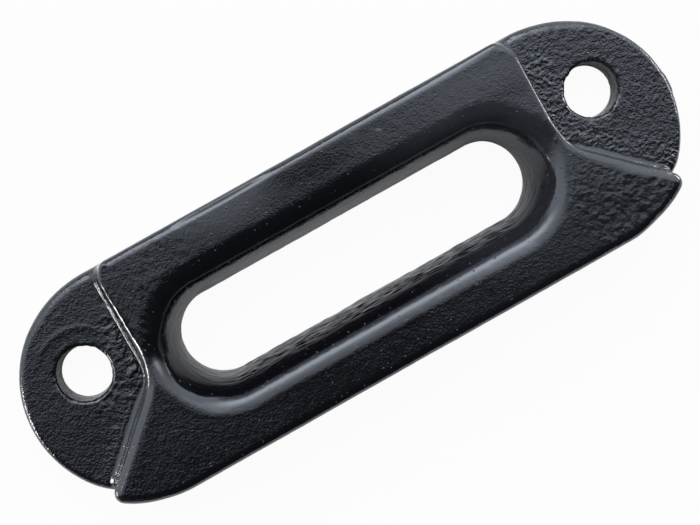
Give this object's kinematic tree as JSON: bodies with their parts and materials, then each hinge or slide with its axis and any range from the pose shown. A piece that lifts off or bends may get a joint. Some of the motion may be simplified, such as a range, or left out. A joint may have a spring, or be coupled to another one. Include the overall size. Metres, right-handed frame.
{
  "type": "hawse fairlead",
  "caption": "Small cast fairlead: a flange with rounded ends, a raised body with angled end walls, and a long slot with a bell-mouthed lip that guides a winch rope.",
  "frame": {"origin": "middle of the flat back face, on the flange's long middle line", "axes": "+X along the long axis, +Y towards the side that the bolt holes sit on, +Z out of the front"},
  "size_m": [0.1556, 0.05, 0.019],
  "materials": {
    "black_powder_coat": "gloss"
  },
  "bodies": {
    "root": {"fairlead_casting": "black_powder_coat"}
  },
  "joints": []
}
